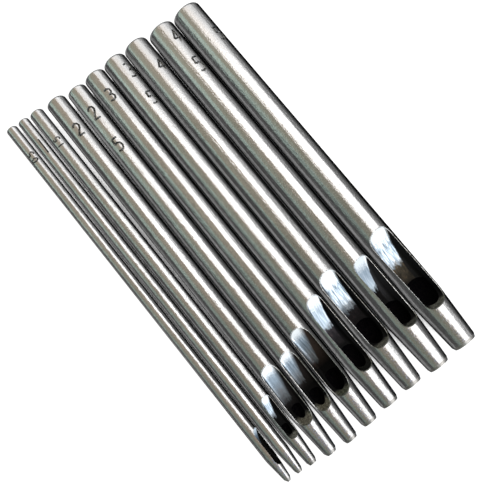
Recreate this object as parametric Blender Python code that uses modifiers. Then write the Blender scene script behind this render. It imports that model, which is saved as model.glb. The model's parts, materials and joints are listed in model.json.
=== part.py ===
"""A set of ten hollow drive punches for leather, laid side by side from 0.5 mm to 5 mm.

Each punch is one turned steel rod. Its head is chamfered for the mallet and its tip is a
ground cone with a hollow cutting edge. The hole runs up from the tip into a milled window,
where the cut discs come out. Z is up, X runs across the row from thin to thick, and Y runs
along the punches towards their heads. Lengths below are in millimetres.
"""

import math

import bpy
from mathutils import Matrix, Vector

MM = 0.001

LENGTH = 100.6
BORE_RELIEF = 0.15         # the hole opens out by this radius above the cutting edge
RELIEF_START = 2.5         # from the edge
RELIEF_END = 4.0
EDGE_LAND = 0.09           # wall left at the very edge
EDGE_BEVEL = 0.75          # length of the steep bevel at the edge
DRILL_POINT = 0.6          # depth of the drill's point, as a share of the hole's radius
WINDOW_CORNER = 0.36       # corner radius of the window's cutter, as a share of half its width
REFERENCE = 5              # the punch that the row is laid out from, counted from zero


class Punch:
    """The driving dimensions of one punch."""

    def __init__(self, hole, shank, tip, cone, window, depth, width, turn, lean):
        self.hole = hole           # diameter of the hole it cuts
        self.shank = shank         # diameter of the rod
        self.tip = tip             # diameter of the cone just above the edge's bevel
        self.cone = cone           # length of the ground cone
        self.window = window       # where the window starts and ends, from the tip
        self.depth = depth         # how deep the window is milled
        self.width = width         # the window cutter's width, as a share of the shank
        self.turn = turn           # how the window is turned from straight up, in degrees
        self.lean = lean           # how far the window leans from the rod's axis, in degrees

    @property
    def node(self):
        return "punch_" + format(self.hole, ".1f").replace(".", "_") + "mm"


PUNCHES = [
    Punch(0.5, 2.75, 1.60, 6.1, (3.5, 13.0), 1.45, 0.70, 52, 0.0),
    Punch(1.0, 2.75, 1.80, 5.6, (3.7, 13.2), 1.45, 0.70, 158, 0.0),
    Punch(1.5, 3.50, 2.30, 8.1, (6.3, 17.3), 1.90, 0.70, 17, 0.5),
    Punch(2.0, 4.95, 3.05, 11.6, (7.4, 22.7), 2.75, 0.77, -2, 0.0),
    Punch(2.5, 4.90, 3.35, 11.6, (8.0, 23.0), 2.70, 0.76, -8, 0.5),
    Punch(3.0, 5.50, 3.80, 11.6, (7.7, 25.2), 3.20, 0.79, -19, 0.5),
    Punch(3.5, 5.90, 4.30, 11.6, (8.4, 28.2), 3.70, 0.70, 12, 1.2),
    Punch(4.0, 6.45, 4.75, 12.6, (10.2, 30.5), 4.10, 0.74, -1, 1.4),
    Punch(4.5, 7.00, 5.20, 12.6, (10.3, 28.9), 4.10, 0.64, 13, 1.4),
    Punch(5.0, 7.55, 5.90, 12.6, (9.7, 31.2), 4.80, 0.72, 0, 1.8),
]

# Clear gap from each punch to the next one, where they lie loose in the row.
GAPS_AT_HEAD = [0.45, 0.40, 0.95, 0.50, 0.20, 0.15, 0.15, 0.40, 0.30]
GAPS_AT_TIP = [0.15, 0.15, 0.15, 0.15, 0.25, 0.20, 0.20, 0.35, 0.40]
# How far each head stands forward of the reference punch's head.
HEADS_FORWARD = [1.5, 1.5, 1.15, 0.35, -0.25, 0.0, 0.25, 0.25, -0.35, -0.3]
REFERENCE_SKEW = 0.5       # how far the reference punch's head lies to +X of its tip


def clear_scene():
    for old in list(bpy.data.objects):
        bpy.data.objects.remove(old, do_unlink=True)


def new_collection(name):
    collection = bpy.data.collections.new(name)
    bpy.context.scene.collection.children.link(collection)
    return collection


def steel(name, shade, roughness):
    """Ground bare steel, a little different on each punch."""
    material = bpy.data.materials.new(name)
    material.use_nodes = True
    shader = material.node_tree.nodes["Principled BSDF"]
    shader.inputs["Base Color"].default_value = (shade, shade, shade * 0.98, 1.0)
    shader.inputs["Metallic"].default_value = 1.0
    shader.inputs["Roughness"].default_value = roughness
    return material


def turned(name, collection, profile, steps):
    """A solid turned about Z from (radius, height) points that run from top to bottom."""
    mesh = bpy.data.meshes.new(name)
    points = [(radius * MM, 0.0, height * MM) for radius, height in profile]
    edges = [(i, i + 1) for i in range(len(points) - 1)]
    mesh.from_pydata(points, edges, [])
    body = bpy.data.objects.new(name, mesh)
    collection.objects.link(body)
    screw = body.modifiers.new("turn", "SCREW")
    screw.axis = "Z"
    screw.steps = steps
    screw.render_steps = steps
    screw.use_merge_vertices = True
    screw.merge_threshold = 0.000001
    screw.use_smooth_shade = True
    return body


def as_cutter(body, parent):
    """A cutter follows its punch and doesn't show."""
    body.parent = parent
    body.hide_render = True
    body.display_type = "WIRE"


def cut(body, cutter):
    boolean = body.modifiers.new("cut_" + cutter.name, "BOOLEAN")
    boolean.operation = "DIFFERENCE"
    boolean.solver = "EXACT"
    boolean.object = cutter


def head_chamfer(punch):
    """Width across and length along the rod of the head's rounded chamfer."""
    return 0.08 * punch.shank + 0.15, 0.10 * punch.shank + 0.25


def punch_profile(punch):
    radius = punch.shank / 2
    across, along = head_chamfer(punch)
    top = LENGTH / 2
    tip = -LENGTH / 2
    return [
        (0.0, top),
        (radius - across, top),
        (radius - 0.30 * across, top - 0.38 * along),
        (radius, top - along),
        (radius, tip + punch.cone + 0.5),
        (radius - 0.05, tip + punch.cone - 0.5),
        (punch.tip / 2, tip + EDGE_BEVEL),
        (punch.hole / 2 + EDGE_LAND, tip),
        (0.0, tip),
    ]


def bore_profile(punch):
    """The hole: true to size at the edge, relieved above it, with a drill's point."""
    tip = -LENGTH / 2
    edge = punch.hole / 2
    inside = edge + min(BORE_RELIEF, 0.12 * punch.hole)
    end = tip + bore_depth(punch)
    return [
        (0.0, end + DRILL_POINT * inside),
        (inside, end),
        (inside, tip + RELIEF_END),
        (edge, tip + RELIEF_START),
        (edge, tip - 1.0),
        (0.0, tip - 1.0),
    ]


def bore_depth(punch):
    """The hole ends a third of the way along the window."""
    start, end = punch.window
    return start + 0.3 * (end - start)


def window_wheel(punch):
    """Radius of the round cutter that leaves this window at this depth."""
    start, end = punch.window
    half = (end - start) / 2
    return (half * half + punch.depth * punch.depth) / (2 * punch.depth)


def window_profile(punch):
    """The cutter's rim, with rounded corners, as a turned profile."""
    wheel = window_wheel(punch)
    half = punch.width * punch.shank / 2
    corner = WINDOW_CORNER * half
    rim = []
    for i in range(4):
        angle = math.radians(90 - 30 * i)
        rim.append((wheel - corner + corner * math.cos(angle), half - corner + corner * math.sin(angle)))
    lower = [(radius, -height) for radius, height in reversed(rim)]
    return [(0.0, half)] + rim + lower + [(0.0, -half)]


def make_punch(punch, parts, cutters):
    steps = 28 if punch.shank < 4 else 32
    body = turned(punch.node, parts, punch_profile(punch), steps)
    shade = 0.50 + 0.01 * punch.hole
    body.data.materials.append(steel("steel_" + punch.node, shade, 0.28))

    bore = turned("bore_" + punch.node, cutters, bore_profile(punch), 16 if punch.hole < 2 else 20)
    as_cutter(bore, body)

    wheel = turned("window_" + punch.node, cutters, window_profile(punch), 60)
    as_cutter(wheel, body)
    middle = -LENGTH / 2 + sum(punch.window) / 2
    height = punch.shank / 2 - punch.depth + window_wheel(punch)
    wheel.location = Vector((0.0, -height, middle)) * MM
    wheel.rotation_mode = "ZYX"
    wheel.rotation_euler = (0.0, math.radians(90 - punch.lean), math.radians(3))

    cut(body, bore)
    cut(body, wheel)
    return body


def row_positions():
    """X of each punch's axis at its head and at its tip, from the gaps."""
    heads = [REFERENCE_SKEW / 2] * len(PUNCHES)
    tips = [-REFERENCE_SKEW / 2] * len(PUNCHES)
    for i in range(REFERENCE + 1, len(PUNCHES)):
        pitch = (PUNCHES[i - 1].shank + PUNCHES[i].shank) / 2
        heads[i] = heads[i - 1] + pitch + GAPS_AT_HEAD[i - 1]
        tips[i] = tips[i - 1] + pitch + GAPS_AT_TIP[i - 1]
    for i in range(REFERENCE - 1, -1, -1):
        pitch = (PUNCHES[i + 1].shank + PUNCHES[i].shank) / 2
        heads[i] = heads[i + 1] - pitch - GAPS_AT_HEAD[i]
        tips[i] = tips[i + 1] - pitch - GAPS_AT_TIP[i]
    return heads, tips


def lay_in_row(bodies):
    """Each punch lies on the ground plane, level, at its place in the row."""
    heads, tips = row_positions()
    for i, (punch, body) in enumerate(zip(PUNCHES, bodies)):
        across = heads[i] - tips[i]
        yaw = -math.asin(across / LENGTH)
        centre_x = (heads[i] + tips[i]) / 2
        centre_y = HEADS_FORWARD[i] + LENGTH / 2 * (1 - math.cos(yaw))
        body.location = Vector((centre_x, centre_y, punch.shank / 2)) * MM
        lying = Matrix.Rotation(yaw, 3, "Z") @ Matrix.Rotation(math.radians(-90), 3, "X")
        turn = Matrix.Rotation(math.radians(punch.turn), 3, "Z")
        body.rotation_euler = (lying @ turn).to_euler()


def centre_on_origin(bodies):
    """The row's box is centred on X and Y, and its lowest point is at Z = 0."""
    bpy.context.view_layer.update()
    graph = bpy.context.evaluated_depsgraph_get()
    corners = []
    for body in bodies:
        shown = body.evaluated_get(graph)
        corners += [body.matrix_world @ vertex.co for vertex in shown.data.vertices]
    low = [min(corner[axis] for corner in corners) for axis in range(3)]
    high = [max(corner[axis] for corner in corners) for axis in range(3)]
    shift = Vector(((low[0] + high[0]) / 2, (low[1] + high[1]) / 2, low[2]))
    for body in bodies:
        body.location -= shift


clear_scene()
set_parts = new_collection("drive_hole_punch_set")
set_cutters = new_collection("cutters")
made = [make_punch(punch, set_parts, set_cutters) for punch in PUNCHES]
lay_in_row(made)
centre_on_origin(made)
bpy.context.view_layer.update()
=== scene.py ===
"""The look of a set of ten hollow drive punches for leather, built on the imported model.

Each punch is made again with fine turning, a milled window with deburred edges and an
engraved size, in ground steel. Lengths are in millimetres until a mesh is finished.
"""

import json
import math

import bmesh
import bpy
from mathutils import Matrix, Vector


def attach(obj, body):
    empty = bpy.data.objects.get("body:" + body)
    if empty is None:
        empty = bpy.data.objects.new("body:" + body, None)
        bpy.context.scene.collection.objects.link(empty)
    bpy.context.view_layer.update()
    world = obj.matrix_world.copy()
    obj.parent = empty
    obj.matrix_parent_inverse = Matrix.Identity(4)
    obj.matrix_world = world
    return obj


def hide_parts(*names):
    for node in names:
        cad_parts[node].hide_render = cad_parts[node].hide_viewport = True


MM = 0.001
LENGTH = 100.6
THIN_ROD = 4.0             # a rod under this diameter is worked with smaller tools
BORE_RELIEF = 0.15
RELIEF_START = 2.5
RELIEF_END = 4.0
EDGE_LAND = 0.09
EDGE_BEVEL = 0.75
DRILL_POINT = 0.6
BORE_END = 0.3             # how far along the window the hole ends
WINDOW_CORNER = 0.36
DEBURR = 0.13              # radius of the deburred edge round the window
SMALL_DEBURR = 0.09
STROKE = 0.26              # radius of the engraving tool
SMALL_STROKE = 0.19
DIGIT_WIDTH = 1.65
POINT_WIDTH = 1.0
SKIN_FIT = 0.998           # keeps the finely turned skin within the CAD solid's box


class Punch:
    def __init__(self, hole, shank, tip, cone, window, depth, width, turn, lean, ramp, mark_turn):
        self.hole = hole
        self.shank = shank
        self.tip = tip
        self.cone = cone
        self.window = window
        self.depth = depth
        self.width = width
        self.turn = turn
        self.lean = lean
        self.ramp = ramp               # length of bright milled steel at the window's head end
        self.mark_turn = mark_turn     # how the size mark is turned from straight up
        self.thin = shank < THIN_ROD
        self.name = format(hole, ".1f").replace(".", "_") + "mm"
        self.node = "punch_" + self.name


PUNCHES = [
    Punch(0.5, 2.75, 1.60, 6.1, (3.5, 13.0), 1.45, 0.70, 52, 0.0, 3.5, -9),
    Punch(1.0, 2.75, 1.80, 5.6, (3.7, 13.2), 1.45, 0.70, 158, 0.0, 3.5, 6),
    Punch(1.5, 3.50, 2.30, 8.1, (6.3, 17.3), 1.90, 0.70, 17, 0.5, 4.5, -5),
    Punch(2.0, 4.95, 3.05, 11.6, (7.4, 22.7), 2.75, 0.77, -2, 0.0, 6.0, 0),
    Punch(2.5, 4.90, 3.35, 11.6, (8.0, 23.0), 2.70, 0.76, -8, 0.5, 5.2, -8),
    Punch(3.0, 5.50, 3.80, 11.6, (7.7, 25.2), 3.20, 0.79, -19, 0.5, 5.8, -3),
    Punch(3.5, 5.90, 4.30, 11.6, (8.4, 28.2), 3.70, 0.70, 12, 1.2, 7.3, 26),
    Punch(4.0, 6.45, 4.75, 12.6, (10.2, 30.5), 4.10, 0.74, -1, 1.4, 8.8, 24),
    Punch(4.5, 7.00, 5.20, 12.6, (10.3, 28.9), 4.10, 0.64, 13, 1.4, 7.3, 21),
    Punch(5.0, 7.55, 5.90, 12.6, (9.7, 31.2), 4.80, 0.72, 0, 1.8, 8.7, 34),
]


class WindowLook:
    """How the inside of one window is worn, and where painted shade lies in it."""

    def __init__(self, foot_top, foot_low, blur, fade, streaky, lip, lip_tone, tint, wall):
        self.foot_top = foot_top    # foot of the +X wall at the head end, in half widths
        self.foot_low = foot_low    # the same where the bright steel stops
        self.blur = blur            # softness of the wall's foot
        self.fade = fade            # softness of the end of the bright steel
        self.streaky = streaky      # how strong the lengthwise streaks are
        self.lip = lip              # length of the slope at the tip end that is painted in shade, in mm
        self.lip_tone = lip_tone    # how bright that slope's painted shade is
        self.tint = tint            # colour of the floor past the bright steel
        self.wall = wall            # painted shade colour of the +X wall


WINDOW_LOOKS = {
    0.5: WindowLook(0.70, 0.20, 0.10, 0.15, 0.5, 1.0, 0.02, (0.003, 0.003, 0.003), (0.003, 0.003, 0.003)),
    1.0: WindowLook(0.70, 0.20, 0.10, 0.15, 0.5, 1.0, 0.02, (0.003, 0.003, 0.003), (0.003, 0.003, 0.003)),
    1.5: WindowLook(0.80, 0.10, 0.12, 0.20, 1.0, 1.2, 0.30, (0.005, 0.005, 0.005), (0.004, 0.004, 0.004)),
    2.0: WindowLook(0.90, 0.25, 0.35, 0.50, 0.2, 2.4, 0.45, (0.050, 0.044, 0.048), (0.016, 0.014, 0.014)),
    2.5: WindowLook(0.75, 0.05, 0.25, 0.50, 0.6, 2.2, 0.50, (0.045, 0.038, 0.038), (0.020, 0.016, 0.015)),
    3.0: WindowLook(0.60, -0.15, 0.25, 0.50, 0.6, 1.6, 0.35, (0.050, 0.034, 0.028), (0.036, 0.025, 0.020)),
    3.5: WindowLook(0.80, 0.60, 0.05, 0.10, 0.5, 2.5, 0.03, (0.045, 0.040, 0.046), (0.004, 0.004, 0.005)),
    4.0: WindowLook(0.80, 0.70, 0.05, 0.15, 1.2, 1.2, 0.30, (0.014, 0.012, 0.013), (0.003, 0.003, 0.003)),
    4.5: WindowLook(0.80, 0.45, 0.05, 0.08, 0.3, 1.0, 0.35, (0.008, 0.007, 0.007), (0.024, 0.024, 0.026)),
    5.0: WindowLook(0.85, 0.55, 0.05, 0.10, 1.2, 1.3, 0.40, (0.070, 0.060, 0.044), (0.012, 0.012, 0.012)),
}


# ---------------------------------------------------------------- materials

def new_material(name):
    material = bpy.data.materials.new(name)
    material.use_nodes = True
    nodes = material.node_tree.nodes
    shader = nodes["Principled BSDF"]
    return material, nodes, material.node_tree.links, shader


def rod_place(nodes):
    """Local position on the punch in mm: x and y across, z along."""
    place = nodes.new("ShaderNodeAttribute")
    place.attribute_name = "rod"
    return place.outputs["Vector"]


def rod_coordinates(nodes, links, scale):
    """The same, scaled per axis."""
    mapping = nodes.new("ShaderNodeMapping")
    mapping.inputs["Scale"].default_value = scale
    links.new(rod_place(nodes), mapping.inputs["Vector"])
    return mapping.outputs["Vector"]


def rod_axes(nodes, links):
    """The same, as three separate values."""
    split = nodes.new("ShaderNodeSeparateXYZ")
    links.new(rod_place(nodes), split.inputs["Vector"])
    return split.outputs


def noise(nodes, links, vector, scale, detail=2.0, roughness=0.5):
    node = nodes.new("ShaderNodeTexNoise")
    node.inputs["Scale"].default_value = scale
    node.inputs["Detail"].default_value = detail
    node.inputs["Roughness"].default_value = roughness
    links.new(vector, node.inputs["Vector"])
    return node.outputs["Fac"]


def ramp(nodes, links, value, stops):
    node = nodes.new("ShaderNodeValToRGB")
    elements = node.color_ramp.elements
    while len(elements) > 1:
        elements.remove(elements[-1])
    elements[0].position = stops[0][0]
    elements[0].color = (*stops[0][1], 1.0)
    for position, colour in stops[1:]:
        element = elements.new(position)
        element.color = (*colour, 1.0)
    links.new(value, node.inputs["Fac"])
    return node.outputs["Color"]


def grey(value):
    return (value, value, value)


def mixed(nodes, links, share, first, second):
    """Goes from the first colour to the second as share goes from 0 to 1."""
    node = nodes.new("ShaderNodeMix")
    node.data_type = "RGBA"
    links.new(share, node.inputs[0])
    for socket, value in ((node.inputs[6], first), (node.inputs[7], second)):
        if isinstance(value, tuple):
            socket.default_value = (*value, 1.0)
        else:
            links.new(value, socket)
    return node.outputs[2]


def lighter(nodes, links, first, second):
    """The lighter of two colours, channel by channel."""
    node = nodes.new("ShaderNodeMix")
    node.data_type = "RGBA"
    node.blend_type = "LIGHTEN"
    node.inputs[0].default_value = 1.0
    links.new(first, node.inputs[6])
    links.new(second, node.inputs[7])
    return node.outputs[2]


def math_node(nodes, links, operation, first, second=None, third=None):
    node = nodes.new("ShaderNodeMath")
    node.operation = operation
    for socket, value in zip(node.inputs, (first, second, third)):
        if value is None:
            continue
        if isinstance(value, (int, float)):
            socket.default_value = value
        else:
            links.new(value, socket)
    return node.outputs[0]


def nudged(nodes, links, value, texture, amount):
    """The value, moved up and down by a texture whose middle is 0.5."""
    offset = math_node(nodes, links, "SUBTRACT", texture, 0.5)
    return math_node(nodes, links, "MULTIPLY_ADD", offset, amount, value)


def bump(nodes, links, height, strength, distance, normal=None):
    node = nodes.new("ShaderNodeBump")
    node.inputs["Strength"].default_value = strength
    node.inputs["Distance"].default_value = distance
    links.new(height, node.inputs["Height"])
    if normal is not None:
        links.new(normal, node.inputs["Normal"])
    return node.outputs["Normal"]


def along_rod(nodes, links, shader):
    tangent = nodes.new("ShaderNodeTangent")
    tangent.direction_type = "UV_MAP"
    tangent.uv_map = "UVMap"
    links.new(tangent.outputs["Tangent"], shader.inputs["Tangent"])


def ground_steel(name, seed):
    """Centreless-ground bare rod: fine grain, faint lengthwise waviness, a few scratches."""
    material, nodes, links, shader = new_material(name)
    shader.inputs["Metallic"].default_value = 1.0
    shader.inputs["Anisotropic"].default_value = 0.6
    along_rod(nodes, links, shader)
    fine = noise(nodes, links, rod_coordinates(nodes, links, (1.0, 1.0, 1.0)), 5.0, 4.0, 0.65)
    cloud = noise(nodes, links, rod_coordinates(nodes, links, (0.25, 0.25, 0.05)), 1.0, 3.0)
    shade = math_node(nodes, links, "MULTIPLY_ADD", fine, 0.60, 0.20)
    shade = math_node(nodes, links, "MULTIPLY_ADD", cloud, 0.35, shade)
    colour = ramp(nodes, links, shade, [
        (0.40, (0.30, 0.30, 0.29)),
        (0.66, (0.52, 0.52, 0.52)),
        (0.90, (0.76, 0.76, 0.77)),
    ])
    links.new(colour, shader.inputs["Base Color"])
    rough = math_node(nodes, links, "MULTIPLY_ADD", fine, 0.10, 0.06)
    links.new(rough, shader.inputs["Roughness"])
    wave_place = rod_coordinates(nodes, links, (0.9, 0.9, 0.012))
    wave_place.node.inputs["Location"].default_value = (seed * 3.7, seed * 1.3, 0.0)
    wave = noise(nodes, links, wave_place, 1.0, 1.0)
    normal = bump(nodes, links, wave, 0.5, 0.00024)
    grain = noise(nodes, links, rod_coordinates(nodes, links, (1.0, 1.0, 0.7)), 1.8, 3.0, 0.7)
    normal = bump(nodes, links, grain, 1.0, 0.000062, normal)
    links.new(normal, shader.inputs["Normal"])
    return material


def milled_steel(name, punch):
    """The window: freshly milled at its head end, dark scale further in, painted shade on its +X wall and
    on the olive slope at its tip end.
    """
    look = WINDOW_LOOKS[punch.hole]
    material, nodes, links, shader = new_material(name)
    head_end = -LENGTH / 2 + punch.window[1]
    tip_end = -LENGTH / 2 + punch.window[0]
    axes = rod_axes(nodes, links)
    streaks = noise(nodes, links, rod_coordinates(nodes, links, (3.2, 0.8, 0.16)), 1.0, 4.0, 0.6)
    ragged = noise(nodes, links, rod_coordinates(nodes, links, (1.2, 1.2, 0.9)), 1.0, 3.0, 0.6)
    fleck = noise(nodes, links, rod_coordinates(nodes, links, (1.0, 1.0, 0.8)), 4.0, 2.0, 0.6)
    # distance from the head end of the window, in lengths of the bright steel
    run = math_node(nodes, links, "SUBTRACT", head_end, axes["Z"])
    run = math_node(nodes, links, "DIVIDE", run, punch.ramp)
    # how far past the foot of the +X wall, in half widths of the window; the wall past it is painted in
    # shade
    foot = math_node(nodes, links, "MINIMUM", run, 1.3)
    foot = math_node(nodes, links, "MULTIPLY_ADD", foot, look.foot_low - look.foot_top, look.foot_top)
    out = math_node(nodes, links, "DIVIDE", axes["X"], punch.width * punch.shank / 2)
    out = math_node(nodes, links, "SUBTRACT", out, foot)
    out = nudged(nodes, links, out, ragged, 0.15)
    wall = math_node(nodes, links, "MULTIPLY_ADD", out, 0.5 / look.blur, 0.5)
    wall = ramp(nodes, links, wall, [(0.0, grey(0.0)), (1.0, grey(1.0))])
    # the bright steel stops in a ragged line, or fades away
    fade = nudged(nodes, links, nudged(nodes, links, run, ragged, 0.5), streaks, 0.35)
    fade = math_node(nodes, links, "SUBTRACT", fade, 1.0)
    fade = math_node(nodes, links, "MULTIPLY_ADD", fade, 0.5 / look.fade, 0.5)
    dark = ramp(nodes, links, fade, [(0.0, grey(0.0)), (1.0, grey(1.0))])
    # the +X wall joins the dark part, as painted shade
    dark = math_node(nodes, links, "MAXIMUM", dark, wall)
    shader.inputs["Specular IOR Level"].default_value = 0.04
    marks = nudged(nodes, links, 0.5, streaks, look.streaky)
    bright_colour = ramp(nodes, links, marks, [
        (0.30, (0.09, 0.11, 0.13)), (0.50, (0.34, 0.40, 0.45)), (0.70, (0.88, 0.93, 0.97))])
    fresh = nudged(nodes, links, run, fleck, 0.35)
    fresh = ramp(nodes, links, fresh, [(0.18, grey(1.0)), (0.42, grey(0.0))])
    bright_colour = mixed(nodes, links, fresh, bright_colour, (0.97, 0.98, 0.97))
    tint = look.tint
    scale_and_shade_colour = ramp(nodes, links, ragged, [
        (0.30, (tint[0] * 0.3, tint[1] * 0.3, tint[2] * 0.3)),
        (0.55, (tint[0] * 0.8, tint[1] * 0.8, tint[2] * 0.8)),
        (0.80, (tint[0] * 1.9, tint[1] * 1.6, tint[2] * 1.4))])
    # the +X wall takes its painted shade colour
    scale_and_shade_colour = mixed(nodes, links, wall, scale_and_shade_colour, look.wall)
    deep = ramp(nodes, links, math_node(nodes, links, "MULTIPLY", run, 0.5), [
        (0.50, grey(0.0)), (0.85, grey(1.0))])
    scale_and_shade_colour = mixed(nodes, links, deep, scale_and_shade_colour, (0.003, 0.003, 0.003))
    colour = mixed(nodes, links, dark, bright_colour, scale_and_shade_colour)
    # the sloping tip end, painted a dull olive as painted shade
    rise = math_node(nodes, links, "SUBTRACT", axes["Z"], tip_end)
    rise = nudged(nodes, links, rise, ragged, 0.8)
    rise = math_node(nodes, links, "DIVIDE", rise, 2 * look.lip)
    lip = ramp(nodes, links, rise, [(0.40, grey(1.0)), (0.60, grey(0.0))])
    tone = look.lip_tone
    lip_painted_shade = ramp(nodes, links, fleck, [
        (0.35, (0.09 * tone, 0.09 * tone, 0.075 * tone)),
        (0.55, (0.20 * tone, 0.20 * tone, 0.165 * tone)),
        (0.75, (0.40 * tone, 0.40 * tone, 0.35 * tone))])
    colour = mixed(nodes, links, lip, colour, lip_painted_shade)
    links.new(colour, shader.inputs["Base Color"])
    dull = math_node(nodes, links, "MULTIPLY", dark, math_node(nodes, links, "SUBTRACT", 1.0, lip))
    metal = math_node(nodes, links, "MULTIPLY_ADD", dull, -0.5, 1.0)
    links.new(metal, shader.inputs["Metallic"])
    rough = math_node(nodes, links, "MULTIPLY_ADD", dull, 0.22, 0.28)
    links.new(rough, shader.inputs["Roughness"])
    normal = bump(nodes, links, streaks, 0.6 * look.streaky, 0.00008)
    normal = bump(nodes, links, ragged, 0.3, 0.00004, normal)
    normal = bump(nodes, links, fleck, 0.4, 0.00003, normal)
    links.new(normal, shader.inputs["Normal"])
    return material


def scale_black(name):
    """Inside the drilled hole: black scale."""
    material, nodes, links, shader = new_material(name)
    grain = noise(nodes, links, rod_coordinates(nodes, links, (1.0, 1.0, 1.0)), 3.0, 3.0)
    colour = ramp(nodes, links, grain, [(0.35, (0.001, 0.001, 0.002)), (0.75, (0.006, 0.005, 0.005))])
    links.new(colour, shader.inputs["Base Color"])
    shader.inputs["Specular IOR Level"].default_value = 0.0
    shader.inputs["Roughness"].default_value = 1.0
    links.new(bump(nodes, links, grain, 0.4, 0.00005), shader.inputs["Normal"])
    return material


def bright_edge(name, punch):
    """Deburred edges: freshly cut along the sides, uneven, and painted darker round the tip end as painted
    shade.
    """
    material, nodes, links, shader = new_material(name)
    start, end = punch.window
    rise = math_node(nodes, links, "SUBTRACT", rod_axes(nodes, links)["Z"], start - LENGTH / 2)
    rise = math_node(nodes, links, "DIVIDE", rise, end - start)
    # towards the window's tip end the edge is painted dark, as painted shade
    side = ramp(nodes, links, rise, [(0.07, grey(0.0)), (0.18, grey(1.0))])
    grain = noise(nodes, links, rod_coordinates(nodes, links, (1.0, 1.0, 1.6)), 3.0, 3.0)
    cut = ramp(nodes, links, grain, [(0.35, (0.20, 0.20, 0.19)), (0.55, (0.82, 0.82, 0.81))])
    dull = ramp(nodes, links, grain, [(0.35, (0.05, 0.05, 0.042)), (0.65, (0.14, 0.14, 0.12))])
    links.new(mixed(nodes, links, side, dull, cut), shader.inputs["Base Color"])
    shader.inputs["Metallic"].default_value = 1.0
    shader.inputs["Roughness"].default_value = 0.32
    links.new(bump(nodes, links, grain, 0.8, 0.00012), shader.inputs["Normal"])
    return material


def honed_edge(name):
    """The cutting edge and its bevel: steel painted a darker grey, as painted shade."""
    material, nodes, links, shader = new_material(name)
    grain = noise(nodes, links, rod_coordinates(nodes, links, (1.0, 1.0, 2.5)), 2.0, 3.0)
    colour = ramp(nodes, links, grain, [(0.30, (0.30, 0.29, 0.27)), (0.70, (0.50, 0.48, 0.45))])
    links.new(colour, shader.inputs["Base Color"])
    shader.inputs["Metallic"].default_value = 1.0
    shader.inputs["Roughness"].default_value = 0.42
    links.new(bump(nodes, links, grain, 0.4, 0.00004), shader.inputs["Normal"])
    return material


def engraved(name):
    """The bottom of the engraved strokes."""
    material, nodes, links, shader = new_material(name)
    grain = noise(nodes, links, rod_coordinates(nodes, links, (1.0, 1.0, 1.0)), 4.0, 2.0)
    colour = ramp(nodes, links, grain, [(0.42, (0.012, 0.012, 0.012)), (0.68, (0.26, 0.26, 0.25))])
    links.new(colour, shader.inputs["Base Color"])
    shader.inputs["Metallic"].default_value = 1.0
    shader.inputs["Roughness"].default_value = 0.30
    links.new(bump(nodes, links, grain, 0.4, 0.00004), shader.inputs["Normal"])
    return material


# ---------------------------------------------------------------- shapes

def link(obj):
    bpy.context.scene.collection.objects.link(obj)
    return obj


def evaluated_mesh(obj):
    graph = bpy.context.evaluated_depsgraph_get()
    graph.update()
    return bpy.data.meshes.new_from_object(obj.evaluated_get(graph))


def apply_modifiers(body):
    made = evaluated_mesh(body)
    body.modifiers.clear()
    body.data = made


def turned(name, profile, steps, material):
    """A solid turned about Z from (radius, height) points that run from top to bottom."""
    mesh = bpy.data.meshes.new(name)
    points = [(radius, 0.0, height) for radius, height in profile]
    mesh.from_pydata(points, [(i, i + 1) for i in range(len(points) - 1)], [])
    body = link(bpy.data.objects.new(name, mesh))
    screw = body.modifiers.new("turn", "SCREW")
    screw.steps = steps
    screw.render_steps = steps
    screw.use_merge_vertices = True
    screw.merge_threshold = 0.00001
    apply_modifiers(body)
    body.data.materials.clear()
    body.data.materials.append(material)
    return body


def carve(body, cutter):
    """Cuts cutter out of body for good, and gives the cut faces the cutter's material."""
    kind = cutter.data.materials[0].name
    for attempt in range(6):
        boolean = body.modifiers.new("cut", "BOOLEAN")
        boolean.operation = "DIFFERENCE"
        boolean.solver = "EXACT"
        boolean.material_mode = "TRANSFER"
        boolean.use_self = attempt % 2 == 1
        boolean.object = cutter
        made = evaluated_mesh(body)
        body.modifiers.clear()
        slots = [slot.name if slot else "" for slot in made.materials]
        found = {slots[face.material_index] for face in made.polygons}
        if kind in found and len(found) >= 2:
            body.data = made
            break
        # a cut that meets faces edge on is moved by a few thousandths and tried again
        cutter.location = (0.002 * (attempt + 1), -0.003 * (attempt + 1), 0.004 * (attempt + 1))
    else:
        print("CUT FAILED", body.name, kind)
    bpy.data.objects.remove(cutter, do_unlink=True)


def join_solids(solids):
    """Unions overlapping solids into the first."""
    first = solids[0]
    for other in solids[1:]:
        boolean = first.modifiers.new("join", "BOOLEAN")
        boolean.operation = "UNION"
        boolean.solver = "EXACT"
        boolean.object = other
        apply_modifiers(first)
        bpy.data.objects.remove(other, do_unlink=True)
    return first


def quarter(centre, across, along, count=8):
    """A quarter of an ellipse in (radius, height), from its top to its outer side."""
    points = []
    for i in range(count + 1):
        turn = math.radians(90 * i / count)
        points.append((centre[0] + across * math.sin(turn), centre[1] + along * math.cos(turn)))
    return points


def head_chamfer(punch):
    """Width across and length along the rod of the head's chamfer."""
    return 0.08 * punch.shank + 0.15, 0.10 * punch.shank + 0.25


def punch_profile(punch):
    """The same outline as the CAD solid, with the head's chamfer rounded."""
    radius = punch.shank / 2
    across, along = head_chamfer(punch)
    top = LENGTH / 2
    tip = -LENGTH / 2
    return [(0.0, top)] + quarter((radius - across, top - along), across, along) + [
        (radius, tip + punch.cone + 0.5),
        (radius - 0.012, tip + punch.cone),
        (radius - 0.05, tip + punch.cone - 0.5),
        (punch.tip / 2, tip + EDGE_BEVEL),
        (punch.hole / 2 + EDGE_LAND, tip),
        (0.0, tip),
    ]


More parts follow.
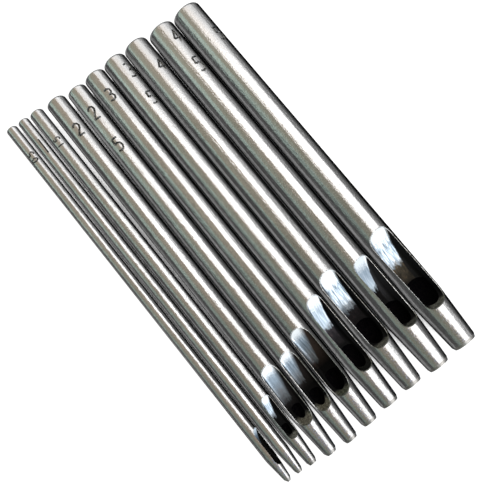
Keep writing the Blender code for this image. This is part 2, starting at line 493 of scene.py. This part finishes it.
def bore_profile(punch):
    """The hole: true to size at the edge, relieved above it, with a domed end."""
    tip = -LENGTH / 2
    edge = punch.hole / 2
    inside = edge + min(BORE_RELIEF, 0.12 * punch.hole)
    start, end = punch.window
    top = tip + start + BORE_END * (end - start)
    return quarter((0.0, top), inside, DRILL_POINT * inside) + [
        (inside, tip + RELIEF_END),
        (edge, tip + RELIEF_START),
        (edge, tip - 1.0),
        (0.0, tip - 1.0),
    ]


def window_wheel(punch):
    """Radius of the round cutter that leaves this window at this depth."""
    start, end = punch.window
    half = (end - start) / 2
    return (half * half + punch.depth * punch.depth) / (2 * punch.depth)


def window_centre(punch):
    """Height and place along the rod of the window cutter's own axis."""
    middle = -LENGTH / 2 + sum(punch.window) / 2
    height = punch.shank / 2 - punch.depth + window_wheel(punch)
    return height, middle


def window_profile(punch):
    """The cutter's rim, with rounded corners."""
    wheel = window_wheel(punch)
    half = punch.width * punch.shank / 2
    corner = WINDOW_CORNER * half
    rim = quarter((wheel - corner, half - corner), corner, corner, 7)
    lower = [(radius, -height) for radius, height in reversed(rim)]
    return [(0.0, half)] + rim + [(wheel, 0.0)] + lower + [(0.0, -half)]


def window_cutter(punch, material):
    """The cutter, spun a little so that none of its edges meets one of the rod's."""
    wheel = turned("window_cutter", window_profile(punch), 160, material)
    height, middle = window_centre(punch)
    lay = Matrix.Rotation(math.radians(90 - punch.lean), 4, "Y")
    spun = Matrix.Rotation(math.radians(1.1), 4, "Z")
    wheel.data.transform(Matrix.Translation((0.0, -height, middle)) @ lay @ spun)
    return wheel


def tube(name, points, radius, closed, material):
    """A round tube through points, as a closed mesh."""
    curve = bpy.data.curves.new(name, "CURVE")
    curve.dimensions = "3D"
    curve.bevel_depth = radius
    curve.bevel_resolution = 2
    curve.use_fill_caps = not closed
    spline = curve.splines.new("POLY")
    spline.points.add(len(points) - 1)
    for point, place in zip(spline.points, points):
        point.co = (*place, 1.0)
    spline.use_cyclic_u = closed
    body = link(bpy.data.objects.new(name, curve))
    mesh = evaluated_mesh(body)
    bpy.data.objects.remove(body, do_unlink=True)
    solid = bmesh.new()
    solid.from_mesh(mesh)
    bmesh.ops.remove_doubles(solid, verts=solid.verts, dist=0.00001)
    bmesh.ops.recalc_face_normals(solid, faces=solid.faces)
    solid.to_mesh(mesh)
    solid.free()
    mesh.materials.clear()
    mesh.materials.append(material)
    return link(bpy.data.objects.new(name, mesh))


def window_edge(body, material_name, spacing=0.3):
    """The closed line where the window meets the outside, as evenly spaced points."""
    outside = 0
    inside = [slot.name for slot in body.data.materials].index(material_name)
    solid = bmesh.new()
    solid.from_mesh(body.data)
    following = {}
    for edge in solid.edges:
        if {face.material_index for face in edge.link_faces} == {inside, outside}:
            a, b = edge.verts
            following.setdefault(a, []).append(b)
            following.setdefault(b, []).append(a)
    start = next(iter(following))
    loop = [start]
    previous, here = None, start
    while True:
        onward = [v for v in following[here] if v is not previous]
        if not onward:
            break
        previous, here = here, onward[0]
        if here is start:
            break
        loop.append(here)
    points = [v.co.copy() for v in loop]
    solid.free()
    return evenly_spaced(points, spacing)


def evenly_spaced(points, spacing):
    """Points at even distances along a closed line."""
    lengths = [0.0]
    for i in range(len(points)):
        lengths.append(lengths[-1] + (points[(i + 1) % len(points)] - points[i]).length)
    count = round(lengths[-1] / spacing)
    even = []
    i = 0
    for k in range(count):
        goal = lengths[-1] * k / count
        while lengths[i + 1] < goal:
            i += 1
        share = (goal - lengths[i]) / max(lengths[i + 1] - lengths[i], 1e-9)
        even.append(points[i % len(points)].lerp(points[(i + 1) % len(points)], share))
    return even


# ---------------------------------------------------------------- size marks

GLYPHS = {
    # strokes on a box one unit wide and two tall, from its lower left corner
    "0": [[(0.5, 2.0), (0.15, 1.7), (0.0, 1.0), (0.15, 0.3), (0.5, 0.0), (0.85, 0.3), (1.0, 1.0),
           (0.85, 1.7), (0.5, 2.0)]],
    "1": [[(0.5, 0.0), (0.5, 2.0)]],
    "2": [[(0.05, 1.55), (0.2, 1.87), (0.5, 2.0), (0.82, 1.86), (0.95, 1.5), (0.8, 1.1), (0.05, 0.0)],
          [(0.05, 0.0), (1.0, 0.0)]],
    "3": [[(0.08, 1.9), (0.5, 2.0), (0.88, 1.8), (0.92, 1.4), (0.72, 1.1), (0.38, 1.05)],
          [(0.38, 1.05), (0.78, 0.95), (1.0, 0.55), (0.85, 0.15), (0.5, 0.0), (0.05, 0.12)]],
    "4": [[(0.72, 0.0), (0.72, 2.0)], [(0.72, 2.0), (0.0, 0.6)], [(0.0, 0.6), (1.0, 0.6)]],
    "5": [[(0.92, 2.0), (0.15, 2.0)], [(0.15, 2.0), (0.08, 1.12)],
          [(0.08, 1.12), (0.5, 1.25), (0.88, 1.02), (0.98, 0.6), (0.82, 0.18), (0.45, 0.0), (0.02, 0.14)]],
    ".": [[(0.5, 0.0), (0.5, 0.06)]],
}


def glyph_strokes(glyph, left, foot, width, height, across=False):
    """Stroke paths on the unrolled rod as (across, along) points in mm.

    With across set the mark reads along the rod, from the tip towards the head.
    """
    paths = []
    for stroke in GLYPHS[glyph]:
        path = []
        for u, v in stroke:
            if across:
                path.append((-(left + v / 2 * height), foot + u * width))
            else:
                path.append((left + u * width, foot + v / 2 * height))
        paths.append(path)
    return paths


# each size mark: the glyph and where it starts and ends, from the head towards the tip
MARKS = {
    1.0: [("1", 6.4, 10.6)],
    2.0: [("2", 8.3, 11.4)],
    2.5: [("2", 6.4, 9.8), (".", 11.2, 11.6), ("5", 16.0, 19.4)],
    3.0: [("3", 5.7, 8.9)],
    3.5: [("3", 3.4, 7.4), (".", 8.3, 8.7), ("5", 12.2, 15.7)],
    4.0: [("4", 7.3, 10.4)],
    4.5: [("4", 3.0, 6.6), (".", 8.6, 9.0), ("5", 11.7, 15.9)],
    5.0: [("5", 8.7, 12.5)],
}
# marks in small digits written along the rod, and how far from the head each starts
SMALL_MARKS = {0.5: 10.6, 1.5: 11.2}
SMALL_DIGIT = (0.85, 1.6)      # width and height
SMALL_POINT_WIDTH = 0.3
SMALL_GAP = 0.32


def mark_layout(punch):
    """Where each punch's size is engraved: stroke paths, unrolled, with the head at +along."""
    head = LENGTH / 2
    paths = []
    if punch.hole in SMALL_MARKS:
        wide, tall = SMALL_DIGIT
        foot = head - SMALL_MARKS[punch.hole]
        for glyph in format(punch.hole, ".1f"):
            width = SMALL_POINT_WIDTH if glyph == "." else wide
            paths += glyph_strokes(glyph, -tall / 2, foot, width, tall, across=True)
            foot += width + SMALL_GAP
        return paths
    for glyph, start, end in MARKS[punch.hole]:
        wide = POINT_WIDTH if glyph == "." else DIGIT_WIDTH
        paths += glyph_strokes(glyph, -wide / 2, head - end, wide, end - start)
    return paths


def subdivided(path, spacing=0.25):
    """The path with points close enough together to bend round the rod."""
    points = []
    for (u0, v0), (u1, v1) in zip(path, path[1:]):
        steps = max(1, round(math.dist((u0, v0), (u1, v1)) / spacing))
        points += [(u0 + (u1 - u0) * i / steps, v0 + (v1 - v0) * i / steps) for i in range(steps)]
    points.append(path[-1])
    return points


def mark_cutter(punch, material):
    """Every stroke of the mark as one solid, wrapped round the rod."""
    radius = punch.shank / 2
    stroke = SMALL_STROKE if punch.thin else STROKE
    turn = math.radians(punch.mark_turn - punch.turn)
    solids = []
    for path in mark_layout(punch):
        closed = path[0] == path[-1]
        points = []
        for across, along in subdivided(path)[:-1 if closed else None]:
            angle = turn + across / radius
            out = radius + 0.1 * stroke
            points.append((out * math.sin(angle), -out * math.cos(angle), along))
        solids.append(tube("stroke", points, stroke, closed, material))
    return join_solids(solids)


# ---------------------------------------------------------------- a whole punch

def exact_normals(mesh, punch, kinds):
    """Sets the corner normals from the turned and milled shapes themselves."""
    height, middle = window_centre(punch)
    centre = Vector((0.0, -height, middle))
    lean = math.radians(punch.lean)
    axle = Vector((math.cos(lean), 0.0, math.sin(lean)))
    normals = [None] * len(mesh.loops)
    for face in mesh.polygons:
        kind = kinds.get(mesh.materials[face.material_index].name)
        for index in face.loop_indices:
            place = mesh.vertices[mesh.loops[index].vertex_index].co
            own = face.normal
            normal = own
            if kind in ("ground", "bore", "bevel"):
                flat = math.hypot(place.x, place.y)
                if flat > 0.02 and abs(own.z) < 0.995:
                    steep = own.z * 0.35 if kind == "bevel" else own.z
                    side = math.sqrt(max(0.0, 1 - steep * steep)) / flat
                    if kind == "bore":
                        side = -side
                    normal = Vector((place.x * side, place.y * side, steep))
            elif kind == "window":
                spoke = place - centre
                spoke -= axle * spoke.dot(axle)
                across = own.dot(axle)
                if spoke.length > 0.1 and abs(across) < 0.995:
                    normal = axle * across - spoke.normalized() * math.sqrt(1 - across * across)
            normals[index] = normal
    return normals


def unrolled_uv(mesh, punch):
    """UV in which U runs along the rod and V round it."""
    layer = mesh.uv_layers.new(name="UVMap")
    for face in mesh.polygons:
        centre = face.center
        base = math.atan2(centre.x, -centre.y)
        for index in face.loop_indices:
            place = mesh.vertices[mesh.loops[index].vertex_index].co
            angle = math.atan2(place.x, -place.y)
            if angle - base > math.pi:
                angle -= 2 * math.pi
            if angle - base < -math.pi:
                angle += 2 * math.pi
            if math.hypot(place.x, place.y) < 0.01:
                angle = base
            u = (place.z + LENGTH / 2) / LENGTH
            v = angle * punch.shank / 2 / LENGTH + 0.5
            layer.data[index].uv = (u, v)


def make_punch(index, punch, mounts):
    """Turns, drills, mills, deburrs and engraves one punch, and lays it on its CAD solid."""
    ground = ground_steel("ground_steel_" + punch.name, index)
    milled = milled_steel("milled_steel_" + punch.name, punch)
    black = scale_black("black_scale_" + punch.name)
    edge = bright_edge("cut_edge_" + punch.name, punch)
    mark = engraved("engraved_" + punch.name)
    bevel_shade = honed_edge("honed_edge_" + punch.name)

    steps = 72 if punch.thin else 96
    bore_steps = 32 if punch.hole <= 1.0 else 48
    deburr = SMALL_DEBURR if punch.thin else DEBURR
    body = turned("detailed_" + punch.node, punch_profile(punch), steps, ground)
    carve(body, turned("bore_cutter", bore_profile(punch), bore_steps, black))
    carve(body, window_cutter(punch, milled))
    rim = window_edge(body, milled.name)
    carve(body, tube("rim_cutter", rim, deburr, True, edge))
    carve(body, mark_cutter(punch, mark))

    mesh = body.data
    mesh.shade_smooth()
    # faces of the tip's bevel take the darker steel that paints shade there
    mesh.materials.append(bevel_shade)
    bevel_end = -LENGTH / 2 + EDGE_BEVEL + 0.01
    for face in mesh.polygons:
        ground_face = mesh.materials[face.material_index].name == ground.name
        if ground_face and all(mesh.vertices[i].co.z < bevel_end for i in face.vertices):
            face.material_index = len(mesh.materials) - 1
    kinds = {ground.name: "ground", bevel_shade.name: "bevel", black.name: "bore", milled.name: "window"}
    normals = exact_normals(mesh, punch, kinds)
    mesh.normals_split_custom_set([tuple(n) for n in normals])
    place = mesh.attributes.new("rod", "FLOAT_VECTOR", "POINT")
    for point, vertex in zip(place.data, mesh.vertices):
        point.vector = vertex.co
    unrolled_uv(mesh, punch)
    mesh.transform(placed(punch, mounts["head_face_" + punch.name]))
    mesh.update()

    body.visible_glossy = False
    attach(body, punch.node)
    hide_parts(punch.node)


def placed(punch, mount):
    """From the punch's own millimetres to the frame, by its head's mount."""
    head = Vector(mount["pos_m"])
    way = Vector(mount["axis"]).normalized()
    side = Vector((0.0, 0.0, 1.0)).cross(way).normalized() * -1
    lying = Matrix((
        (side.x, 0.0, way.x),
        (side.y, 0.0, way.y),
        (0.0, -1.0, 0.0),
    ))
    turn = Matrix.Rotation(math.radians(punch.turn), 3, "Z")
    centre = head - way * (LENGTH / 2 * MM)
    fit = Matrix.Diagonal((SKIN_FIT, SKIN_FIT, 1.0, 1.0))
    return Matrix.Translation(centre) @ (lying @ turn).to_4x4() @ Matrix.Scale(MM, 4) @ fit


# ---------------------------------------------------------------- studio

def pale_floor():
    """A floor that glows where it is open to the sky, with painted shadow between the punches."""
    mesh = bpy.data.meshes.new("floor")
    grid = bmesh.new()
    bmesh.ops.create_grid(grid, x_segments=1, y_segments=1, size=4.0)
    grid.to_mesh(mesh)
    grid.free()
    floor = link(bpy.data.objects.new("floor", mesh))
    floor.location.z = -0.0002
    material, nodes, links, shader = new_material("pale_floor")
    shader.inputs["Base Color"].default_value = (0.2, 0.2, 0.2, 1.0)
    shader.inputs["Roughness"].default_value = 1.0
    shader.inputs["Specular IOR Level"].default_value = 0.0
    shader.inputs["Emission Strength"].default_value = 1.0
    open_sky = nodes.new("ShaderNodeAmbientOcclusion")
    open_sky.samples = 24
    open_sky.inputs["Distance"].default_value = 0.03
    place = nodes.new("ShaderNodeTexCoord")
    split = nodes.new("ShaderNodeSeparateXYZ")
    links.new(place.outputs["Object"], split.inputs["Vector"])
    # the gaps are wider near the cones, and a little near the heads
    towards_tips = math_node(nodes, links, "MULTIPLY", split.outputs["Y"], -10.0)
    cones = ramp(nodes, links, towards_tips, [(0.365, grey(0.0)), (0.40, grey(1.0))])
    towards_heads = math_node(nodes, links, "MULTIPLY", split.outputs["Y"], 10.0)
    heads = ramp(nodes, links, towards_heads, [(0.20, grey(0.0)), (0.40, grey(0.6))])
    ends = math_node(nodes, links, "MAXIMUM", cones, heads)
    seen = math_node(nodes, links, "MULTIPLY_ADD", ends, 0.09, open_sky.outputs["AO"])
    # the glow is cut where the floor is closed in: painted shadow in the gaps
    lit = ramp(nodes, links, seen, [(0.15, grey(0.0)), (0.19, grey(1.0))])
    links.new(lit, shader.inputs["Emission Color"])
    mesh.materials.append(material)
    floor.visible_glossy = False


# What stands round the punches, listed: its angle from straight up towards +X, its
# colour past the heads, and how much of that is left past the tips.
ROOM = [
    (-150, (0.0, 0.0, 0.0), 1.0),
    (-125, (0.5, 0.5, 0.5), 1.0),       # pale skirting, low on the left
    (-105, (0.1, 0.1, 0.1), 1.0),       # dark wall
    (-80, (0.1, 0.1, 0.1), 1.0),
    (-65, (0.8, 1.0, 0.9), 0.4),        # window with a green tint
    (-45, (0.5, 0.5, 0.4), 0.6),        # warm ceiling
    (0, (0.6, 0.5, 0.4), 0.8),
    (45, (0.6, 0.6, 0.6), 0.8),
    (55, (1.4, 1.4, 1.4), 0.6),         # bright border of the diffuser
    (75, (0.4, 0.4, 0.4), 0.5),
    (95, (0.1, 0.1, 0.1), 1.0),
    (110, (0.0, 0.0, 0.0), 1.0),
]
# each diffuser: left, right, near end, far end and height in metres, and brightness
SOFTBOXES = [
    (0.0055, 0.130, -0.280, 0.300, 0.111, 0.95),
    (0.0055, 0.130, -0.280, 0.080, 0.111, 0.85),
]


def softboxes():
    """Long diffusers over the right of the row, dimmer past the heads."""
    for index, (left, right, near, far, height, bright) in enumerate(SOFTBOXES):
        data = bpy.data.lights.new("softbox", "AREA")
        data.shape = "RECTANGLE"
        data.size = right - left
        data.size_y = far - near
        data.energy = bright * math.pi * (right - left) * (far - near)
        light = link(bpy.data.objects.new("softbox", data))
        light.location = ((left + right) / 2, (near + far) / 2, height + 0.0005 * index)
        light.visible_camera = False


def room():
    """The room that the steel mirrors. The camera itself sees plain white."""
    world = bpy.data.worlds.new("room")
    bpy.context.scene.world = world
    world.use_nodes = True
    nodes, links = world.node_tree.nodes, world.node_tree.links
    nodes.clear()
    out = nodes.new("ShaderNodeOutputWorld")
    way = nodes.new("ShaderNodeTexCoord")
    split = nodes.new("ShaderNodeSeparateXYZ")
    links.new(way.outputs["Generated"], split.inputs["Vector"])
    # angle from straight up towards +X, as 0..1 from -180 to 180 degrees
    angle = math_node(nodes, links, "ARCTAN2", split.outputs["X"], split.outputs["Z"])
    share = math_node(nodes, links, "MULTIPLY_ADD", angle, 1 / (2 * math.pi), 0.5)

    def at(degrees):
        return 0.5 + degrees / 360

    heads = ramp(nodes, links, share, [(at(degrees), colour) for degrees, colour, _ in ROOM])
    tips = ramp(nodes, links, share, [
        (at(degrees), tuple(left * part for part in colour)) for degrees, colour, left in ROOM])
    towards_heads = ramp(nodes, links, split.outputs["Y"], [(0.06, grey(0.0)), (0.42, grey(1.0))])
    across = mixed(nodes, links, towards_heads, tips, heads)
    # daylight from the tips' side, seen by the windows' slopes
    away = math_node(nodes, links, "MULTIPLY", split.outputs["Y"], -1.0)
    day = ramp(nodes, links, away, [
        (0.20, grey(0.0)), (0.42, (0.50, 0.63, 0.77)),
        (0.70, (0.70, 0.80, 0.91)), (1.0, (1.12, 1.17, 1.22))])
    sideways = math_node(nodes, links, "MULTIPLY_ADD", split.outputs["X"], 0.5, 0.5)
    facing = ramp(nodes, links, sideways, [
        (0.22, grey(0.0)), (0.33, grey(1.0)), (0.85, grey(1.0)), (0.95, grey(0.0))])
    daylight = mixed(nodes, links, facing, grey(0.0), day)
    # the pale floor beyond the heads, seen by their flat ends
    beyond = ramp(nodes, links, split.outputs["Y"], [(0.45, grey(0.0)), (0.72, (0.42, 0.43, 0.44))])
    down = math_node(nodes, links, "MULTIPLY", split.outputs["Z"], -1.0)
    below = ramp(nodes, links, down, [(0.08, grey(0.0)), (0.26, grey(1.0))])
    ground = mixed(nodes, links, below, grey(0.0), beyond)
    mirrored = lighter(nodes, links, lighter(nodes, links, across, daylight), ground)
    seen = nodes.new("ShaderNodeBackground")
    links.new(mirrored, seen.inputs["Color"])
    plain = nodes.new("ShaderNodeBackground")
    plain.inputs["Color"].default_value = (1.0, 1.0, 1.0, 1.0)
    path = nodes.new("ShaderNodeLightPath")
    choose = nodes.new("ShaderNodeMixShader")
    links.new(path.outputs["Is Camera Ray"], choose.inputs["Fac"])
    links.new(seen.outputs["Background"], choose.inputs[1])
    links.new(plain.outputs["Background"], choose.inputs[2])
    links.new(choose.outputs["Shader"], out.inputs["Surface"])


CAMERA_PLACE = (-0.02554, -0.02616, 0.14925)
CAMERA_TARGET = (-0.00035, -0.00348, 0.003)
CAMERA_ROLL = 39.14
CAMERA_LENS = 49.25


def photo_camera():
    """The photo's viewing angle, from above the row."""
    data = bpy.data.cameras.new("camera")
    data.sensor_width = 36.0
    data.lens = CAMERA_LENS
    data.clip_start = 0.005
    data.clip_end = 50.0
    camera = link(bpy.data.objects.new("camera", data))
    place = Vector(CAMERA_PLACE)
    back = (place - Vector(CAMERA_TARGET)).normalized()
    right = Vector((0.0, 1.0, 0.0)).cross(back).normalized()
    up = back.cross(right)
    level = Matrix((right, up, back)).transposed()
    roll = Matrix.Rotation(math.radians(CAMERA_ROLL), 3, back)
    camera.matrix_world = Matrix.Translation(place) @ (roll.inverted() @ level).to_4x4()
    bpy.context.scene.camera = camera


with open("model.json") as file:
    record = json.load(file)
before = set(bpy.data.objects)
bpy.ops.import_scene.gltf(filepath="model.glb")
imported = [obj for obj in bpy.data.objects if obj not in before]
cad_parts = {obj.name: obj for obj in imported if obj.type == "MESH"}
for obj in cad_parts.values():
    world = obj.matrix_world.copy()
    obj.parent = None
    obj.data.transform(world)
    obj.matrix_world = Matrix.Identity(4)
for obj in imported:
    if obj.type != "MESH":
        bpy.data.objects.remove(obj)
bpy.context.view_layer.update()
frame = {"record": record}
mounts = {mount["name"]: mount for mount in frame["record"]["mounts"]}
for index, punch in enumerate(PUNCHES):
    make_punch(index, punch, mounts)
pale_floor()
room()
softboxes()
photo_camera()
bpy.context.scene.view_settings.view_transform = "Standard"
bpy.context.view_layer.update()
